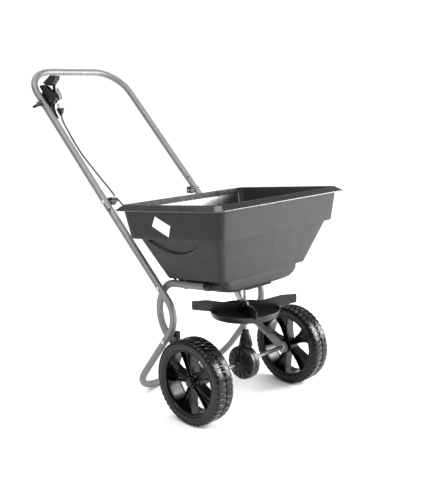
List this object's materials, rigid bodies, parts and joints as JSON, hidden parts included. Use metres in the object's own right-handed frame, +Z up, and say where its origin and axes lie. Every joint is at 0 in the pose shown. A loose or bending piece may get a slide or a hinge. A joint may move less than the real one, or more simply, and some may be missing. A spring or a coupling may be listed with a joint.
{
  "type": "broadcast spreader",
  "caption": "Walk-behind broadcast spreader: open hopper on a bent-tube frame with treaded wheels, a geared bladed impeller, a folding push handle and a cable-worked shutter",
  "frame": {"origin": "middle of the machine's footprint, on the ground", "axes": "+X forward, +Y to the left of the person pushing, +Z up"},
  "size_m": [0.989, 0.56, 1.0451],
  "materials": {
    "frame_paint": "mid grey hammered paint",
    "hopper_plastic": "dark grey, satin outside and glossier inside",
    "black_plastic": "black, satin",
    "impeller_plastic": "dark slate, glossy",
    "tyre": "black with a raised tread",
    "yellow_zinc": "yellow passivated zinc",
    "bright_steel": "plain zinc",
    "pale_plastic": "light grey, satin",
    "label": "plain white label",
    "cable_sheath": "black, smooth"
  },
  "bodies": {
    "chassis": {"lower_frame_tube": "frame_paint", "right_hopper_tube": "frame_paint", "right_tube_cap": "black_plastic", "right_hopper_bolt": "bright_steel", "right_hopper_nut": "bright_steel", "right_axle_bushing": "pale_plastic", "right_spacer": "bright_steel", "right_upper_cross_bolt": "yellow_zinc", "right_upper_cross_nut": "yellow_zinc", "right_lower_cross_bolt": "yellow_zinc", "right_fold_bolt": "yellow_zinc", "left_hopper_tube": "frame_paint", "left_tube_cap": "black_plastic", "left_hopper_bolt": "bright_steel", "left_hopper_nut": "bright_steel", "left_axle_bushing": "pale_plastic", "left_spacer": "bright_steel", "left_upper_cross_bolt": "yellow_zinc", "left_upper_cross_nut": "yellow_zinc", "left_lower_cross_bolt": "yellow_zinc", "left_fold_bolt": "yellow_zinc", "hopper": "hopper_plastic", "hopper_label": "label", "shutter_guide": "black_plastic", "shaft_bushing": "pale_plastic", "gear_case_cover": "black_plastic", "gear_case_body": "black_plastic", "cable_clip": "pale_plastic", "lower_cable": "cable_sheath"},
    "drive": {"axle": "bright_steel", "bevel_gear": "bright_steel", "left_wheel_rim": "black_plastic", "left_tyre": "tyre", "left_hub_cap": "black_plastic", "right_hub_cap": "black_plastic"},
    "free_wheel": {"right_wheel_rim": "black_plastic", "right_tyre": "tyre"},
    "spinner": {"impeller": "impeller_plastic", "impeller_shaft": "bright_steel", "pinion": "bright_steel", "agitator": "bright_steel"},
    "shutter": {"shutter_plate": "black_plastic"},
    "handle": {"upper_handle": "frame_paint", "control_body": "black_plastic", "dial_plate": "pale_plastic", "lever_pivot": "bright_steel", "control_clamp_bolt": "bright_steel", "cable_barrel": "pale_plastic", "cable_adjuster": "black_plastic", "upper_cable": "cable_sheath"},
    "lever": {"flow_lever": "black_plastic"},
    "clamp_nut": {"wing_nut": "black_plastic"},
    "right_fold_clamp": {"right_fold_knob": "black_plastic"},
    "left_fold_clamp": {"left_fold_knob": "black_plastic"},
    "right_lower_clamp": {"right_lower_cross_knob": "black_plastic"},
    "left_lower_clamp": {"left_lower_cross_knob": "black_plastic"}
  },
  "joints": [
    {"name": "axle_spin", "type": "hinge", "parent": "chassis", "child": "drive", "pos_m": [0.32206, 0, 0.127], "axis": [0, 1, 0], "continuous": true},
    {"name": "right_wheel_spin", "type": "hinge", "parent": "chassis", "child": "free_wheel", "pos_m": [0.32206, -0.2235, 0.127], "axis": [0, 1, 0], "continuous": true},
    {"name": "impeller_spin", "type": "hinge", "parent": "chassis", "child": "spinner", "pos_m": [0.32206, 0, 0.291], "axis": [0, 0, 1], "continuous": true},
    {"name": "shutter_slide", "type": "slide", "parent": "chassis", "child": "shutter", "axis": [-0.9978, 0, -0.0663], "range_m": [0, 0.036]},
    {"name": "handle_fold", "type": "hinge", "parent": "chassis", "child": "handle", "pos_m": [-0.07794, 0, 0.617], "axis": [0, 1, 0], "range_deg": [0, 118]},
    {"name": "flow_lever_swing", "type": "hinge", "parent": "handle", "child": "lever", "pos_m": [-0.35785, -0.17, 0.93553], "axis": [0, 1, 0], "range_deg": [0, 52]},
    {"name": "wing_nut_turn", "type": "hinge", "parent": "handle", "child": "clamp_nut", "pos_m": [-0.37842, -0.222, 0.92599], "axis": [0, 1, 0], "continuous": true},
    {"name": "right_fold_knob_turn", "type": "hinge", "parent": "chassis", "child": "right_fold_clamp", "pos_m": [-0.07794, -0.177, 0.617], "axis": [0, 1, 0], "continuous": true},
    {"name": "left_fold_knob_turn", "type": "hinge", "parent": "chassis", "child": "left_fold_clamp", "pos_m": [-0.07794, 0.177, 0.617], "axis": [0, 1, 0], "continuous": true},
    {"name": "right_lower_knob_turn", "type": "hinge", "parent": "chassis", "child": "right_lower_clamp", "pos_m": [0.17606, -0.156, 0.2126], "axis": [0, 1, 0], "continuous": true},
    {"name": "left_lower_knob_turn", "type": "hinge", "parent": "chassis", "child": "left_lower_clamp", "pos_m": [0.17606, 0.156, 0.2126], "axis": [0, 1, 0], "continuous": true}
  ],
  "couplings": [
    {"joint": "impeller_spin", "follows": "axle_spin", "ratio": 4},
    {"joint": "shutter_slide", "follows": "flow_lever_swing", "m_per_rad": 0.0396}
  ]
}
